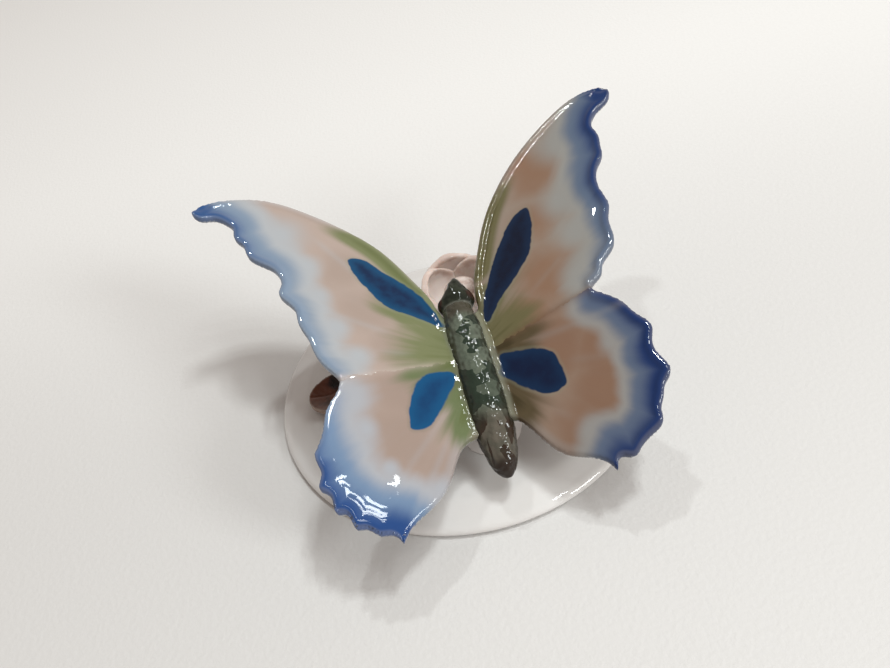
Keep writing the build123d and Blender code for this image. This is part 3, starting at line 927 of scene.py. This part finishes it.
def support():
    """The hump of clay under the thorax, with soft swells."""
    obj = clay("support", voxel=0.3 * MM, passes=8)
    points = get_points(obj.data)
    push(obj, rough(points, 5 * MM, 7) * 0.25 * MM)
    finish_piece(obj, "support", white_porcelain("support_glaze_look", 0.5))


plinth()
support()


# Stage, lights and camera


def stage():
    """A wide pale table top with a faint pebbled grain, painted a little brighter on its far side:
    painted light.
    """
    mesh = bpy.data.meshes.new("table_top")
    half = 900 * MM
    corners = [(-half, -half, 0), (half, -half, 0), (half, half, 0), (-half, half, 0)]
    mesh.from_pydata(corners, [], [(0, 1, 2, 3)])
    floor = new_object("table_top", mesh)
    paint = Glaze("table_look")
    split = paint.nodes.new("ShaderNodeSeparateXYZ")
    paint.links.new(paint.place, split.inputs["Vector"])
    grain = paint.grain(1.1 * MM, 3.0)
    # The table is painted darker on its near side and brighter on its far side: painted shade and
    # light
    far_share = paint.ease(split.outputs["Y"], -20 * MM, 150 * MM)
    near_painted_shade_tone = (0.645, 0.635, 0.625)
    far_painted_light_tone = (0.795, 0.79, 0.78)
    speck = (0.55, 0.53, 0.51)
    tone = paint.mix(far_share, near_painted_shade_tone, far_painted_light_tone)
    tone = paint.mix(paint.ease(grain, 0.35, 0.65, 0.0, 0.05), tone, speck)
    paint.bump(grain, 0.09 * MM)
    floor.data.materials.append(paint.done(tone, 0.55, coat=0.0))


# All lamps share a slightly cool white and face a place in the middle of the butterfly
LAMP_COLOUR = (0.95, 1.0, 1.0)
LAMP_AIM = (0.0, 0.0, 20 * MM)
PANE_COLUMNS = 2
PANE_ROWS = 3
PANE_SLOPE = 0.4
# The dim warm room: its colour, and how its strength changes along an axis of the view direction,
# from one number at low to another at high
ROOM_COLOUR = (1.0, 0.88, 0.80, 1.0)
ROOM_FADES = (("X", -0.7, 0.8, 0.39, 0.58), ("Z", 0.35, 0.85, 1.25, 0.75))


def lamp(name, place, size, power):
    """A rectangular soft light that faces the butterfly."""
    data = bpy.data.lights.new(name, "AREA")
    data.shape = "RECTANGLE"
    data.size, data.size_y = size
    data.energy = power
    data.color = LAMP_COLOUR
    obj = new_object(name, data)
    obj.location = place
    back = Vector(place) - Vector(LAMP_AIM)
    obj.rotation_mode = "QUATERNION"
    obj.rotation_quaternion = back.to_track_quat("Z", "Y")


def paned_lamp(name, middle, spacing, size, power):
    """A lamp of several panes in columns along X and rows along Y."""
    for column in range(PANE_COLUMNS):
        for row in range(PANE_ROWS):
            across = (column - (PANE_COLUMNS - 1) / 2) * spacing[0]
            along = (row - (PANE_ROWS - 1) / 2) * spacing[1]
            place = Vector(middle) + Vector((across, along, -PANE_SLOPE * across))
            lamp(f"{name}_{column}_{row}", place, size, power)


def lights():
    """Two paned lamps high on the right, a soft one in front, a small one behind and the room."""
    paned_lamp("pane", (0.326, 0.037, 0.93), (0.062, 0.05), (0.036, 0.028), 0.60)
    paned_lamp("window", (0.354, -0.26, 0.93), (0.044, 0.098), (0.034, 0.085), 0.24)
    lamp("near_light", (0.51, -0.48, 0.40), (0.2, 0.2), 2.5)
    lamp("back_light", (-0.04, 0.44, 0.93), (0.05, 0.05), 1.5)
    world = bpy.data.worlds.new("room")
    bpy.context.scene.world = world
    world.use_nodes = True
    nodes, links = world.node_tree.nodes, world.node_tree.links
    coordinates = nodes.new("ShaderNodeTexCoord")
    split = nodes.new("ShaderNodeSeparateXYZ")
    links.new(coordinates.outputs["Generated"], split.inputs["Vector"])
    strength = nodes.new("ShaderNodeMath")
    strength.operation = "MULTIPLY"
    for index, (axis, low, high, to_low, to_high) in enumerate(ROOM_FADES):
        fade = nodes.new("ShaderNodeMapRange")
        fade.interpolation_type = "SMOOTHSTEP"
        fade.inputs["From Min"].default_value = low
        fade.inputs["From Max"].default_value = high
        fade.inputs["To Min"].default_value = to_low
        fade.inputs["To Max"].default_value = to_high
        links.new(split.outputs[axis], fade.inputs["Value"])
        links.new(fade.outputs["Result"], strength.inputs[index])
    links.new(strength.outputs["Value"], nodes["Background"].inputs["Strength"])
    nodes["Background"].inputs["Color"].default_value = ROOM_COLOUR


def camera():
    """The camera fitted to the photograph."""
    data = bpy.data.cameras.new("photo_camera")
    data.sensor_width = SENSOR_WIDTH
    data.lens = FOCAL_PIXELS * SENSOR_WIDTH / IMAGE_WIDTH
    data.clip_start = 1 * MM
    data.clip_end = 10.0
    obj = new_object("photo_camera", data)
    right = CAMERA_RIGHT.normalized()
    up = (CAMERA_UP - right * CAMERA_UP.dot(right)).normalized()
    back = right.cross(up)
    turn = Matrix((right, up, back)).transposed().to_4x4()
    obj.matrix_world = Matrix.Translation(CAMERA_PLACE) @ turn
    bpy.context.scene.camera = obj


stage()
lights()
camera()
bpy.context.scene.view_settings.view_transform = "Standard"
